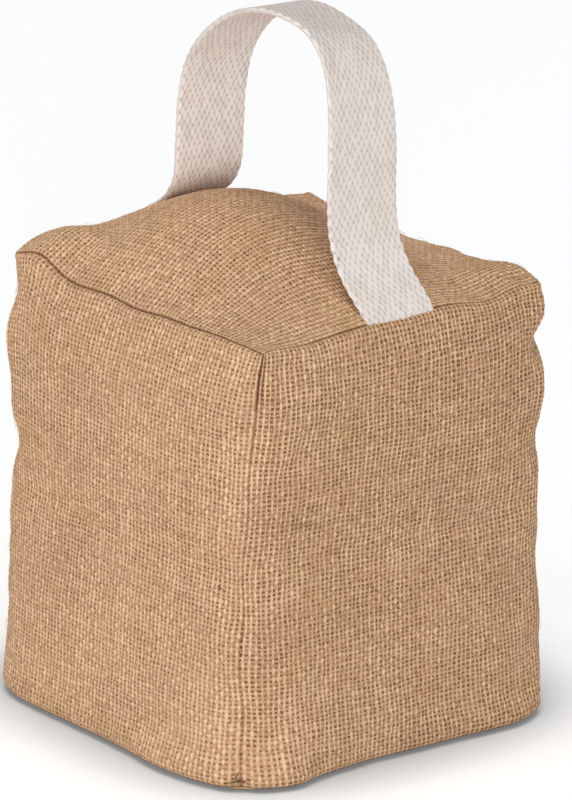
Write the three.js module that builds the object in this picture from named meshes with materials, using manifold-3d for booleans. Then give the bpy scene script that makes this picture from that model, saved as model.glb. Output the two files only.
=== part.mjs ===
// Weighted fabric door stop: a cube of hessian sewn from six panels and packed tight with heavy fill,
// with a carrying handle of flat cotton webbing caught in two opposite top seams.
// Millimetres, +Z up. The origin is on the floor, under the middle of the bag.
// The handle arches along X, and its width lies along Y.
import * as THREE from 'three';
import { mergeVertices } from 'three/addons/utils/BufferGeometryUtils.js';
import Module from 'manifold-3d';

// Bag: where its seams run
const bagWidth = 150;            // between the upright seams, along X
const bagDepth = 150;            // between the upright seams, along Y
const topSeamHeight = 179;       // floor to the top seams, at the corners
const baseSeamHeight = 1.5;      // floor to the base seams
const baseRim = 11;              // width of the rounded rim between a base seam and the flat of the base

// Bag: how far the fill swells each panel past its seams
const baseSwell = 12;            // at the floor, where the weight settles
const waistSwell = 6.5;          // at half height
const shoulderSwell = 11.5;      // just under the top seams
const domeRise = 26.5;           // top panel, above its seams
const panelFullness = 6;         // how squarely a side panel holds its swell from seam to seam
const panelTurn = 0.55;          // how roundly it turns in at the upright seams
const shoulderFullness = 8;      // the same two values, where a side panel meets the top
const shoulderTurn = 0.6;
const domeFullness = 2;          // the same two values for the top panel
const domeTurn = 1.2;
const domeShiftX = -0.36;        // the dome is fuller towards -X
const domeShiftY = -0.64;        // and towards -Y
const handleSeamLift = 4.4;      // the handle draws its -X seam up
const slackSeamSag = 1;          // the +Y seam hangs slack
const earReach = 12;             // size of the puffed corners, and how far along the seams they sit
const earDistance = 15;

// Bag: corners of the top and the base as they lean from a true square, in X and Y,
// and the height of the puffed ear beside the corner
const corners = [
  { a: 1, b: -1, top: [2.4, 2.9], base: [-0.9, -1.1], ear: 0 },
  { a: -1, b: -1, top: [0.7, 0.8], base: [-0.3, -0.4], ear: 5.5 },
  { a: 1, b: 1, top: [-1.1, -1.3], base: [0.5, 0.6], ear: 3 },
  { a: -1, b: 1, top: [1.2, 1.4], base: [-0.5, 0.5], ear: 0 },
];
const seamBow = [-2.1, -2.5];    // the upright seam at +X -Y bows this far at half height

// Bag: pinches, where an upright seam is drawn in, and soft bulges between them, where the depth is negative
const pinches = [
  { a: -1, b: -1, height: 167, depth: 1.5, reach: 7 },
  { a: -1, b: -1, height: 146, depth: -1.8, reach: 14 },
  { a: -1, b: -1, height: 105, depth: 4.5, reach: 9 },
  { a: -1, b: -1, height: 14, depth: -1.2, reach: 12 },
  { a: 1, b: 1, height: 171, depth: -1.8, reach: 8 },
  { a: 1, b: 1, height: 155, depth: 3.5, reach: 6 },
  { a: 1, b: 1, height: 136, depth: -1.8, reach: 11 },
  { a: 1, b: 1, height: 113, depth: 2, reach: 7 },
  { a: 1, b: 1, height: 70, depth: 2, reach: 18 },
  { a: 1, b: 1, height: 14, depth: -1.2, reach: 12 },
  { a: -1, b: 1, height: 130, depth: 3, reach: 9 },
  { a: -1, b: 1, height: 78, depth: 3, reach: 10 },
];
const pinchWidth = 8;            // how far a pinch reaches across the panels beside its seam

// Handle
const strapWidth = 35;
const strapThickness = 2;
const strapCentreY = -0.5;       // the middle of the strap's width, along Y
const strapTuck = 10;            // length sewn in below each seam
const strapInset = 1.2;          // the strap's middle, inside the seam line
const loopTilt = 8;              // the far edge of the arch's +X shoulder lies this much lower
const loopTiltX = 34;            // where along X the tilt is greatest
const loopTiltReach = 32;
const loopTiltHeight = 284;      // and at what height
const loopTiltDrop = 26;

// Middle line of the free loop seen from the side, in X and Z
const loopLine = [
  [-66.5, 190.5], [-58.5, 196.3], [-51.3, 202.6], [-46, 211.5], [-44.2, 226], [-42.5, 244], [-37.5, 260.5],
  [-27, 274.6], [-12, 284.9], [5, 289.3], [21.5, 288], [35, 283], [43.3, 273], [48, 258.5],
  [50.2, 240], [51.2, 222], [54.6, 207], [63, 193.6],
];

const fitGap = 0.3;              // between the strap and the cloth around it

// Mesh fineness
const panelSteps = 24;
const heightSteps = 26;
const strapSteps = 72;
const strapWidthSteps = 6;
const seamDensity = 0.45;        // how much the steps close up towards the seams

const hessian = new THREE.MeshStandardMaterial({ name: 'hessian', color: 0xbd9770, roughness: 0.95, metalness: 0 });
const webbing = new THREE.MeshStandardMaterial({ name: 'webbing', color: 0xd7ccc5, roughness: 0.9, metalness: 0 });

const wasm = await Module();
wasm.setup();

// 1 over the middle of a panel, falling to 0 at its two seams
function holdSwell(t, fullness, turn) {
  return Math.pow(Math.max(0, 1 - Math.pow(Math.abs(t), fullness)), turn);
}

function bell(distance, reach) {
  return Math.exp(-(distance * distance) / (reach * reach));
}

// Swell of the side panels at a share h of the height
function sideSwell(h) {
  const lower = THREE.MathUtils.lerp(baseSwell, waistSwell, Math.min(1, 2 * h));
  const level = h < 0.5 ? lower : THREE.MathUtils.lerp(waistSwell, shoulderSwell, 2 * h - 1);
  return level * holdSwell(h, shoulderFullness, shoulderTurn);
}

// The four upright seams carry everything: a and b run from -1 to 1 between them, h from 0 to 1 up them
function seamFrame(a, b, h) {
  const place = new THREE.Vector2();
  for (const corner of corners) {
    const share = ((1 + corner.a * a) / 2) * ((1 + corner.b * b) / 2);
    const bow = corner.a > 0 && corner.b < 0 ? 4 * h * (1 - h) : 0;
    const lean = [0, 1].map((i) => THREE.MathUtils.lerp(corner.base[i], corner.top[i], h) + bow * seamBow[i]);
    place.x += share * ((corner.a * bagWidth) / 2 + lean[0]);
    place.y += share * ((corner.b * bagDepth) / 2 + lean[1]);
  }
  return place;
}

// How far the top seams and the panel between them are drawn up or hang down
function topLift(a, b) {
  let lift = (handleSeamLift * (1 - a) * (1 - b * b)) / 2 - (slackSeamSag * (1 + b) * (1 - a * a)) / 2;
  for (const corner of corners) {
    const alongX = (Math.abs(a - corner.a) * bagWidth) / 2;
    const alongY = (Math.abs(b - corner.b) * bagDepth) / 2;
    lift += corner.ear * bell(alongX - earDistance, earReach) * bell(alongY, 2 * earReach);
    lift += corner.ear * bell(alongY - earDistance, earReach) * bell(alongX, 2 * earReach);
  }
  return lift;
}

function pinchIn(point, a, b) {
  for (const pinch of pinches) {
    const besideX = (Math.abs(a - pinch.a) * bagWidth) / 2;
    const besideY = (Math.abs(b - pinch.b) * bagDepth) / 2;
    const pull = pinch.depth * bell(point.z - pinch.height, pinch.reach) * bell(besideX + besideY, pinchWidth);
    point.x -= pull * pinch.a * Math.SQRT1_2;
    point.y -= pull * pinch.b * Math.SQRT1_2;
  }
}

// Height of the base: flat on the floor inside the rim, rising to the base seams
function baseHeight(a, b) {
  const rimX = Math.min(1, ((1 - Math.abs(a)) * bagWidth) / 2 / baseRim);
  const rimY = Math.min(1, ((1 - Math.abs(b)) * bagDepth) / 2 / baseRim);
  const flat = Math.min(rimX, rimY);
  return baseSeamHeight * (1 - flat) * (1 - flat);
}

// A point of the bag's outside. a, b and c run from -1 to 1, and the point lies on the faces of that cube.
function bagSkin(a, b, c) {
  const h = (c + 1) / 2;
  const seams = seamFrame(a, b, h);
  const swell = sideSwell(h);
  const lift = topLift(a, b) * h * h * h;
  const point = new THREE.Vector3(
    seams.x + a * swell * holdSwell(b, panelFullness, panelTurn),
    seams.y + b * swell * holdSwell(a, panelFullness, panelTurn),
    THREE.MathUtils.lerp(baseSeamHeight, topSeamHeight, h) + lift,
  );
  if (c === 1) {
    const crown = holdSwell(a, domeFullness, domeTurn) * holdSwell(b, domeFullness, domeTurn);
    point.z += domeRise * crown * (1 + domeShiftX * a + domeShiftY * b);
  }
  if (c === -1) point.z = baseHeight(a, b);
  pinchIn(point, a, b);
  return point;
}

// Steps of a panel, closer together at its seams
function closeToSeams(t) {
  return Math.abs(t) === 1 ? t : THREE.MathUtils.lerp(t, Math.sin((t * Math.PI) / 2), seamDensity);
}

// Only the corners and faces of a shape are kept, with each shared corner stored once
function weld(geometry) {
  geometry.deleteAttribute('normal');
  geometry.deleteAttribute('uv');
  return mergeVertices(geometry, 1e-5);
}

function bagGeometry() {
  const cube = new THREE.BoxGeometry(2, 2, 2, panelSteps, panelSteps, heightSteps);
  const places = cube.attributes.position;
  const point = new THREE.Vector3();
  for (let i = 0; i < places.count; i += 1) {
    point.fromBufferAttribute(places, i);
    const skin = bagSkin(closeToSeams(point.x), closeToSeams(point.y), closeToSeams(point.z));
    places.setXYZ(i, skin.x, skin.y, skin.z);
  }
  return weld(cube);
}

// Middle line of the whole strap: down inside one seam, up through the loop, and down inside the other
function strapPath() {
  const acrossShare = (2 * strapCentreY) / bagDepth;
  const lowSeam = bagSkin(-1, acrossShare, 1);
  const highSeam = bagSkin(1, acrossShare, 1);
  const line = [
    [lowSeam.x + strapInset, lowSeam.z - strapTuck],
    [lowSeam.x + strapInset, lowSeam.z - strapTuck / 2],
    [lowSeam.x + 2 * strapInset, lowSeam.z + strapThickness],
    ...loopLine,
    [highSeam.x - 1.5 * strapInset, highSeam.z + strapThickness],
    [highSeam.x - strapInset, highSeam.z - strapTuck / 2],
    [highSeam.x - strapInset, highSeam.z - strapTuck],
  ];
  return new THREE.CatmullRomCurve3(line.map(([x, z]) => new THREE.Vector3(x, 0, z)), false, 'centripetal');
}

// A flat band bent along the strap's path, grown on every side by a margin
function strapBand(margin) {
  const path = strapPath();
  const width = strapWidth + 2 * margin;
  const band = new THREE.BoxGeometry(1, width, strapThickness + 2 * margin, strapSteps, strapWidthSteps, 1);
  const places = band.attributes.position;
  const point = new THREE.Vector3();
  const growth = margin / path.getLength();
  for (let i = 0; i < places.count; i += 1) {
    point.fromBufferAttribute(places, i);
    const share = point.x + 0.5;
    const middle = path.getPointAt(share);
    const along = path.getTangentAt(share);
    const endPush = (share === 1 ? 1 : 0) - (share === 0 ? 1 : 0);
    const outward = new THREE.Vector3(-along.z, 0, along.x);
    const tilt = loopTilt * bell(middle.x - loopTiltX, loopTiltReach) * bell(middle.z - loopTiltHeight, loopTiltDrop);
    middle.addScaledVector(outward, point.z - (tilt * point.y) / strapWidth);
    middle.addScaledVector(along, endPush * growth * path.getLength());
    places.setXYZ(i, middle.x, point.y + strapCentreY, middle.z);
  }
  return weld(band);
}

function toSolid(geometry) {
  const vertProperties = new Float32Array(geometry.attributes.position.array);
  const triVerts = new Uint32Array(geometry.index.array);
  return new wasm.Manifold(new wasm.Mesh({ numProp: 3, vertProperties, triVerts }));
}

function toGeometry(solid) {
  const { vertProperties, triVerts } = solid.getMesh();
  const geometry = new THREE.BufferGeometry();
  geometry.setAttribute('position', new THREE.BufferAttribute(new Float32Array(vertProperties), 3));
  geometry.setIndex(new THREE.BufferAttribute(new Uint32Array(triVerts), 1));
  geometry.computeVertexNormals();
  return geometry;
}

function piece(name, geometry, material) {
  const mesh = new THREE.Mesh(geometry, material);
  mesh.name = name;
  return mesh;
}

// The filled bag, with the two slots in its seams that the strap's ends are sewn into
function hessianBag() {
  const bag = toSolid(bagGeometry());
  const strapRoom = toSolid(strapBand(fitGap));
  return piece('hessian_bag', toGeometry(bag.subtract(strapRoom)), hessian);
}

function webbingStrap() {
  return piece('webbing_strap', toGeometry(toSolid(strapBand(0))), webbing);
}

const doorStop = new THREE.Group();
doorStop.name = 'fabric_door_stop';
doorStop.add(hessianBag(), webbingStrap());

export default doorStop;
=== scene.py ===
import math
from functools import partial
import bpy
import numpy as np
from mathutils import Matrix, Vector


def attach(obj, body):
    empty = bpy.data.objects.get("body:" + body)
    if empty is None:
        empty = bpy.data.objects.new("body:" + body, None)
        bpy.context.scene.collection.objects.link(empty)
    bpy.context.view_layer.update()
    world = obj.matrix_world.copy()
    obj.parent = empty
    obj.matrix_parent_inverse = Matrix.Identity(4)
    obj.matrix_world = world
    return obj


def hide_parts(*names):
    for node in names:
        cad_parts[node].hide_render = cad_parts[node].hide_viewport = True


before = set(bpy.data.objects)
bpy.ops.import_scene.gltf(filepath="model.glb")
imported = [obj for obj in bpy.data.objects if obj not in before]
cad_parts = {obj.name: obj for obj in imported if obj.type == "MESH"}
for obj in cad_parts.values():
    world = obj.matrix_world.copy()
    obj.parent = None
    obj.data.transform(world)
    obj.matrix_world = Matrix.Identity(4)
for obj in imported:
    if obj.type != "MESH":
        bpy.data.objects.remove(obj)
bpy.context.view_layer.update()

mm = 0.001                      # the dictionaries below are in millimetres
print("frame loaded:", sorted(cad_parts))


def addObject(name, data):
    obj = bpy.data.objects.new(name, data)
    bpy.context.collection.objects.link(obj)
    return obj


# Camera, set by where the middle of the bag lies in the picture, in pixels
view = {
    "azimuth": 49.89, "elevation": 19.1, "roll": 0.95,   # degrees
    "distance": 3000, "pivot": (0, 0, 90),
    "focalPixels": 7469, "pivotPixel": (274, 483), "pictureSize": (572, 800), "sensor": 36, "clip": (0.1, 20),
}


def makeCamera():
    azimuth, elevation, roll = (math.radians(view[key]) for key in ("azimuth", "elevation", "roll"))
    (width, height), (pivotX, pivotY), focal = view["pictureSize"], view["pivotPixel"], view["focalPixels"]
    back = Vector((math.sin(azimuth) * math.cos(elevation), -math.cos(azimuth) * math.cos(elevation),
                   math.sin(elevation)))
    right = Vector((math.cos(azimuth), math.sin(azimuth), 0))
    up = back.cross(right)
    right, up = right * math.cos(roll) + up * math.sin(roll), up * math.cos(roll) - right * math.sin(roll)
    place = Vector(view["pivot"]) + back * view["distance"]
    # the ray through the middle of the picture, which isn't where the pivot lies
    axisZ = (back - right * (width / 2 - pivotX) / focal - up * (pivotY - height / 2) / focal).normalized()
    axisX = up.cross(axisZ).normalized()
    axisY = axisZ.cross(axisX)
    data = bpy.data.cameras.new("camera")
    data.sensor_width = view["sensor"]
    data.lens = view["sensor"] * focal / max(width, height)
    data.clip_start, data.clip_end = view["clip"]
    camera = addObject("camera", data)
    turn = Matrix((axisX, axisY, axisZ)).transposed().to_4x4()
    camera.matrix_world = Matrix.Translation(place * mm) @ turn
    bpy.context.scene.camera = camera


makeCamera()


# Meshes from grids of points

def meshObject(name, points, quads, uv=None, attributes=None, material=None):
    mesh = bpy.data.meshes.new(name)
    points = np.asarray(points, float).reshape(-1, 3)
    quads = np.asarray(quads, np.int32).reshape(-1, 4)
    mesh.vertices.add(len(points))
    mesh.vertices.foreach_set("co", (points * mm).ravel())
    mesh.loops.add(quads.size)
    mesh.loops.foreach_set("vertex_index", quads.ravel())
    mesh.polygons.add(len(quads))
    mesh.polygons.foreach_set("loop_start", np.arange(0, quads.size, 4, dtype=np.int32))
    mesh.update(calc_edges=True)
    mesh.polygons.foreach_set("use_smooth", np.ones(len(quads), bool))
    if uv is not None:
        layer = mesh.uv_layers.new(name="threads")
        layer.data.foreach_set("uv", np.asarray(uv, float).reshape(-1, 2)[quads.ravel()].ravel())
    for key, values in (attributes or {}).items():
        layer = mesh.attributes.new(key, "FLOAT", "POINT")
        layer.data.foreach_set("value", np.asarray(values, float).ravel())
    if material:
        mesh.materials.append(material)
    return addObject(name, mesh)


def gridQuads(columns, rows):
    # columns run along the first axis of the grid, rows along the second
    index = np.arange(columns * rows).reshape(columns, rows)
    return np.stack([index[:-1, :-1], index[1:, :-1], index[1:, 1:], index[:-1, 1:]], -1).reshape(-1, 4)


def splineWeights(at, count):
    # Catmull-Rom weights of count points for the places at, in steps
    at = np.clip(np.asarray(at, float), 0, count - 1)
    low = np.minimum(at.astype(int), count - 2)
    f = at - low
    parts = [(-f + 2 * f**2 - f**3) / 2, (2 - 5 * f**2 + 3 * f**3) / 2,
             (f + 4 * f**2 - 3 * f**3) / 2, (f**3 - f**2) / 2]
    table = np.zeros((len(at), count + 2))          # with one point more beyond each end
    for k, part in enumerate(parts):
        table[np.arange(len(at)), low + k] += part
    table[:, 1] += 2 * table[:, 0]
    table[:, 2] -= table[:, 0]
    table[:, count] += 2 * table[:, count + 1]
    table[:, count - 1] -= table[:, count + 1]
    return table[:, 1:count + 1]


def resample(grid, columns, rows):
    return np.einsum("ia,abk,jb->ijk", splineWeights(columns, grid.shape[0]), grid,
                     splineWeights(rows, grid.shape[1]), optimize=True)


def unit(vectors):
    return vectors / np.maximum(np.linalg.norm(vectors, axis=-1, keepdims=True), 1e-12)


def gridNormals(points):
    return unit(np.cross(np.gradient(points, axis=0), np.gradient(points, axis=1)))


def bell(distance, reach):
    return np.exp(-(distance / reach) ** 2)


def smoothStep(value, low, high):
    t = np.clip((value - low) / (high - low), 0, 1)
    return t * t * (3 - 2 * t)


def between(first, second, share):
    return first + (second - first) * share


def softNoise(random, columns, rows, columnStep, rowStep):
    # smooth noise between about -1 and 1, with a knot every few columns and rows
    knots = random.uniform(-1, 1, (int(columns / columnStep) + 4, int(rows / rowStep) + 4, 1))
    return resample(knots, np.arange(columns) / columnStep + 1, np.arange(rows) / rowStep + 1)[..., 0]


# Bag: the shape that its solid has, as a formula in a, b and c, which run from -1 to 1 across it
bag = {
    "width": 150, "depth": 150, "topSeam": 179, "baseSeam": 1.5, "baseRim": 11,
    "baseSwell": 12, "waistSwell": 6.5, "shoulderSwell": 11.5, "domeRise": 26.5,
    "panelFullness": 6, "panelTurn": 0.55, "shoulderFullness": 8, "shoulderTurn": 0.6,
    "domeFullness": 2, "domeTurn": 1.2, "domeShift": (-0.36, -0.64),
    "handleSeamLift": 4.4, "slackSeamSag": 1, "earReach": 12, "earDistance": 15,
    "seamBow": (-2.1, -2.5), "pinchWidth": 8,
    # a, b, lean of the top corner, lean of the base corner, height of the puffed ear beside it
    "corners": [(1, -1, (2.4, 2.9), (-0.9, -1.1), 0), (-1, -1, (0.7, 0.8), (-0.3, -0.4), 5.5),
                (1, 1, (-1.1, -1.3), (0.5, 0.6), 3), (-1, 1, (1.2, 1.4), (-0.5, 0.5), 0)],
    # a, b, height, depth (a bulge where negative), reach
    "pinches": [(-1, -1, 167, 1.5, 7), (-1, -1, 146, -1.8, 14), (-1, -1, 105, 4.5, 9),
                (-1, -1, 14, -1.2, 12), (1, 1, 171, -1.8, 8), (1, 1, 155, 3.5, 6),
                (1, 1, 136, -1.8, 11), (1, 1, 113, 2, 7), (1, 1, 70, 2, 18), (1, 1, 14, -1.2, 12),
                (-1, 1, 130, 3, 9), (-1, 1, 78, 3, 10)],
    "cageSteps": (30, 30, 36), "seamDensity": 0.45,
}


def holdSwell(t, fullness, turn):
    return np.clip(1 - np.abs(t) ** fullness, 0, 1) ** turn


def bagSkin(a, b, c):
    h = (c + 1) / 2
    x = y = 0
    for cornerA, cornerB, top, base, ear in bag["corners"]:
        share = (1 + cornerA * a) / 2 * (1 + cornerB * b) / 2
        bow = 4 * h * (1 - h) if cornerA > 0 > cornerB else 0
        x = x + share * (cornerA * bag["width"] / 2 + between(base[0], top[0], h) + bow * bag["seamBow"][0])
        y = y + share * (cornerB * bag["depth"] / 2 + between(base[1], top[1], h) + bow * bag["seamBow"][1])
    swell = np.interp(h, [0, 0.5, 1], [bag["baseSwell"], bag["waistSwell"], bag["shoulderSwell"]])
    swell = swell * holdSwell(h, bag["shoulderFullness"], bag["shoulderTurn"])
    x = x + a * swell * holdSwell(b, bag["panelFullness"], bag["panelTurn"])
    y = y + b * swell * holdSwell(a, bag["panelFullness"], bag["panelTurn"])
    lift = bag["handleSeamLift"] * (1 - a) * (1 - b**2) / 2 - bag["slackSeamSag"] * (1 + b) * (1 - a**2) / 2
    reach, distance = bag["earReach"], bag["earDistance"]
    for cornerA, cornerB, top, base, ear in bag["corners"]:
        alongX, alongY = np.abs(a - cornerA) * bag["width"] / 2, np.abs(b - cornerB) * bag["depth"] / 2
        lift = lift + ear * bell(alongX - distance, reach) * bell(alongY, 2 * reach)
        lift = lift + ear * bell(alongY - distance, reach) * bell(alongX, 2 * reach)
    z = bag["baseSeam"] + (bag["topSeam"] - bag["baseSeam"]) * h + lift * h**3
    crown = holdSwell(a, bag["domeFullness"], bag["domeTurn"]) * holdSwell(b, bag["domeFullness"], bag["domeTurn"])
    crown = bag["domeRise"] * crown * (1 + bag["domeShift"][0] * a + bag["domeShift"][1] * b)
    z = np.where(c == 1, z + crown, z)
    rim = np.minimum(1 - np.abs(a), 1 - np.abs(b)) * bag["width"] / 2 / bag["baseRim"]
    z = np.where(c == -1, bag["baseSeam"] * (1 - np.clip(rim, 0, 1)) ** 2, z)
    for pinchA, pinchB, height, depth, reach in bag["pinches"]:
        beside = (np.abs(a - pinchA) * bag["width"] + np.abs(b - pinchB) * bag["depth"]) / 2
        pull = depth * bell(z - height, reach) * bell(beside, bag["pinchWidth"]) * math.sqrt(0.5)
        x, y = x - pull * pinchA, y - pull * pinchB
    return np.stack([x, y, z], -1)


# Each panel: the cube axes its columns and rows run along, with their signs, and the side it lies on
panels = {
    "panelRight": ((1, 1), (2, 1), (0, 1)),
    "panelLeft": ((0, 1), (2, 1), (1, -1)),
    "panelBackLeft": ((1, -1), (2, 1), (0, -1)),
    "panelBackRight": ((0, -1), (2, 1), (1, 1)),
    "panelTop": ((0, 1), (1, 1), (2, 1)),
    "panelBase": ((0, 1), (1, -1), (2, -1)),
}


def cubeSteps(axis):
    t = np.linspace(-1, 1, bag["cageSteps"][axis] + 1)
    eased = t + (np.sin(t * math.pi / 2) - t) * bag["seamDensity"]
    return np.where(np.abs(t) == 1, t, eased)


def cageOf(panel):
    (columnAxis, columnSign), (rowAxis, rowSign), (sideAxis, side) = panels[panel]
    columns, rows = cubeSteps(columnAxis) * columnSign, cubeSteps(rowAxis) * rowSign
    cube = np.empty((len(columns), len(rows), 3))
    cube[..., columnAxis], cube[..., rowAxis], cube[..., sideAxis] = columns[:, None], rows[None, :], side
    return cube


def makeCage():
    # one closed mesh of all the panels, with shared points along the seams
    cubes = {name: cageOf(name) for name in panels}
    stacked = np.concatenate([cube.reshape(-1, 3) for cube in cubes.values()])
    unique, index = np.unique(np.round(stacked, 6), axis=0, return_inverse=True)
    index = index.ravel()
    grids, quads, start = {}, [], 0
    for name, cube in cubes.items():
        columns, rows = cube.shape[:2]
        grids[name] = index[start:start + columns * rows].reshape(columns, rows)
        quads.append(grids[name].ravel()[gridQuads(columns, rows)])
        start += columns * rows
    points = bagSkin(unique[:, 0], unique[:, 1], unique[:, 2])
    onSeams = (np.abs(unique) == 1).sum(1) > 1
    return points, np.concatenate(quads), grids, onSeams


bagPoints, bagQuads, bagGrids, bagSeams = makeCage()
print("bag cage:", len(bagPoints), "points")


# Cloth: pressure from inside, on cloth cut a little larger than the shape. It swells the panels and wrinkles
# them. The shape already has its swell, so what is kept of the move is the wrinkles and a share of the swell.
puff = {
    "pressure": 4.0, "cutLarger": 0.015, "frames": 20, "mostMove": 5.0, "quality": 5, "mass": 0.3,
    "bending": 0.04, "tension": 12.0, "shear": 4.0, "smoothing": 24, "swellKept": 0.08, "wrinkles": 0.3,
    # places where the cloth stands fuller than its solid: middle, move, reach
    "fuller": [((-75, -45, 182), (0, 0, 2.3), (25, 30, 25)), ((42, 75, 182), (0, 0, 2.2), (24, 25, 25)),
               ((76, 78, 70), (1.2, 1.2, 0), (14, 14, 32)), ((76, 78, 162.5), (0.7, 0.7, 0), (12, 12, 6)),
               ((74, 56, 184), (0, 0, -3.6), (13, 16, 12)), ((75, -4, 180), (0, 0, 1.2), (14, 30, 9)),
               ((80, -60, 4), (3.6, 0, 0), (14, 9, 9)), ((76, -77, 4), (1.8, -1.8, 0), (18, 18, 9)),
               ((81, 52, 3), (3.0, 0, 0), (14, 18, 10)), ((76, 80, 4), (-0.4, -1.6, 0), (14, 14, 13)),
               ((58, -77, 181), (0, 0, 1.9), (17, 10, 9)), ((77, -77, 180), (0.5, 0.3, -1.6), (7, 7, 7)),
               ((76, 78, 152), (-0.25, -0.25, 0), (12, 12, 5)), ((79, 79, 181), (-1.1, -1.1, -0.6), (9, 9, 7)),
               ((-73, 74, 181), (1.0, 2.4, 1.7), (13, 14, 9)), ((40, -86, 3), (0, -2.8, 0), (24, 12, 9)),
               ((-79, -79, 10), (1.4, 1.4, 0), (16, 16, 22)), ((84, -20, 3), (-2.2, 0, 0), (10, 22, 9))],
}


def spreadOverCage(values, held):
    # mean of each point and its neighbours, over and over, with the held points left at 0
    edges = np.concatenate([bagQuads[:, [k, (k + 1) % 4]] for k in range(4)])
    edges = np.unique(np.sort(edges, axis=1), axis=0)
    count = np.bincount(edges.ravel(), minlength=len(values))[:, None] + 1
    for _ in range(puff["smoothing"]):
        total = values.copy()
        for k in range(3):
            total[:, k] += np.bincount(edges[:, 0], values[edges[:, 1], k], len(values))
            total[:, k] += np.bincount(edges[:, 1], values[edges[:, 0], k], len(values))
        values = np.where(held[:, None], 0, total / count)
    return values


def puffed(points, quads, seams):
    held = seams | (points[:, 2] < 0.05)
    cloth = meshObject("clothCage", points, quads)
    group = cloth.vertex_groups.new(name="held")
    group.add([int(i) for i in np.flatnonzero(held)], 1, "REPLACE")
    modifier = cloth.modifiers.new("puff", "CLOTH")
    settings = modifier.settings
    settings.quality = puff["quality"]
    settings.mass = puff["mass"]
    settings.tension_stiffness = settings.compression_stiffness = puff["tension"]
    settings.shear_stiffness = puff["shear"]
    settings.bending_stiffness = puff["bending"]
    settings.use_pressure = True
    settings.uniform_pressure_force = puff["pressure"]
    settings.shrink_min = -puff["cutLarger"]
    settings.vertex_group_mass = "held"
    settings.effector_weights.gravity = 0
    modifier.collision_settings.use_collision = False
    scene = bpy.context.scene
    for number in range(1, puff["frames"] + 1):
        scene.frame_set(number)
    moved = np.empty(len(points) * 3, np.float32)
    cloth.evaluated_get(bpy.context.evaluated_depsgraph_get()).data.vertices.foreach_get("co", moved)
    scene.frame_set(1)
    bpy.data.objects.remove(cloth)
    move = moved.reshape(-1, 3) / mm - points
    print("cloth moved by up to", round(float(np.linalg.norm(move, axis=1).max()), 1), "mm")
    swell = spreadOverCage(move, held)
    move = (move - swell) * puff["wrinkles"] + swell * puff["swellKept"]
    size = np.linalg.norm(move, axis=1, keepdims=True)
    print("of which is kept up to", round(float(size.max()), 1), "mm")
    return points + move * np.minimum(1, puff["mostMove"] / np.maximum(size, 1e-9))


bagPoints = puffed(bagPoints, bagQuads, bagSeams)
for middle, move, reach in puff["fuller"]:
    near = bell((bagPoints - middle) / reach, 1).prod(1)
    bagPoints = bagPoints + near[:, None] * np.array(move)


# Hessian: plain weave, as threads that pass over and under each other
weave = {
    "warpPitch": 2.2, "weftPitch": 1.85, "yarnRadius": 0.36, "swing": 0.24, "hole": 0.25, "holeFrom": 0.1,
    "warpSteps": {"panelRight": 4, "panelLeft": 4, "panelBackLeft": 3, "panelBackRight": 3, "panelTop": 3},
    "weftSteps": 3, "baseSteps": 1,
    "wobble": 0.18, "drift": 0.7, "slubs": 0.35, "yarnShare": 0.66, "allowance": 5, "seed": 14,
    # threads from a seam over which the relief and the drift die away
    "calmRelief": 1.1, "calmDrift": 5,
    # how open the weave is, beside the other panels, and how much that varies in patches and from thread to thread
    "openness": {"panelLeft": -0.6, "panelTop": -0.6, "panelRight": 0.1}, "loosePatches": 0.4, "looseThreads": 0.5,
    # how much tighter it is towards the foot and at the foot of the front seam, and how far its holes close towards the
    # far corner of the top, as painted light that lightens and smooths the part of the dome turned from the lamps
    "tighterLow": 0.3, "tighterAtSeam": 0.5, "seamReach": 0.4, "lowReach": 0.9,
    "farPaintedLight": 0.9, "farFrom": (-0.2, 1.2),
    # a more open place high up in the right panel: amount, middle and reach along it and up it
    "openHigh": (0.5, 0.6, 0.5, 0.75, 0.4),
}

# Seams: a groove, with painted shade along it, and cloth rolled up a little beside it
seams = {
    # depth of each kind of seam, and the darkness of the painted shade in its groove
    "front": (1.2, 0.9), "upright": (0.7, 0.4), "topLeft": (1.3, 0.72), "topRight": (1.2, 0.66),
    "top": (1.2, 0.55), "base": (0.0, 0.0),
    "grooveReach": 0.75, "grooveShadeReach": 0.6, "roll": 0.45, "rollAt": 2.8, "rollReach": 1.6,
    # the front seam: deep above the first heights, still open above the next, and nearly closed below, where its
    # stitches show as runs of dark dashes
    "frontDeep": (152, 162), "frontOpen": (102, 114), "frontLow": (0.12, 0.38), "depthKept": 0.12, "rollKept": 0.25,
    "stitchDark": 0.6, "stitchPitch": 2.9, "stitchSway": (1.5, 5), "stitchFrom": (0, 0.6),
    "stitchRuns": ((11, 17.5), (24, 32), (46, 75), (84, 88)),
    # near its top a second, narrow groove lies beside it, with painted shade in it
    "foldTop": 168, "foldReach": 12, "foldAt": 2.0, "foldWidth": 0.5, "foldDepth": 0.9, "foldShade": 0.8,
    # the right top seam is nearly closed towards both its ends
    "closedShare": 0.25, "opensFrom": (-0.85, -0.45), "closesFrom": (0.3, 0.5),
    # a darker, spotty stretch of weft in the right panel: middle and half size along Y and Z, slope, darkness
    "streak": (-51, 14, 106, 1.7, -0.15, 0.75), "spotty": 0.45, "spotsAlong": 2.9, "spotsUp": (0.4, 3.3),
    # how far the seams waver, with a wave for each axis: its run along X, Y and Z, and its start
    "waver": 0.5, "waverLength": 5, "waverReach": 8, "waverFrom": (4, 30),
    "waverWaves": ((0, 1, 0.7, 0), (1, 0, 0.8, 1), (0.6, 0.7, 0, 2)),
    # radius of the turn under the base, and how far the cloth stands out just above it
    "baseRound": 5.5, "baseOut": 1.7, "baseReach": 12, "baseEdge": (0.7, 0.95),
}

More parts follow.
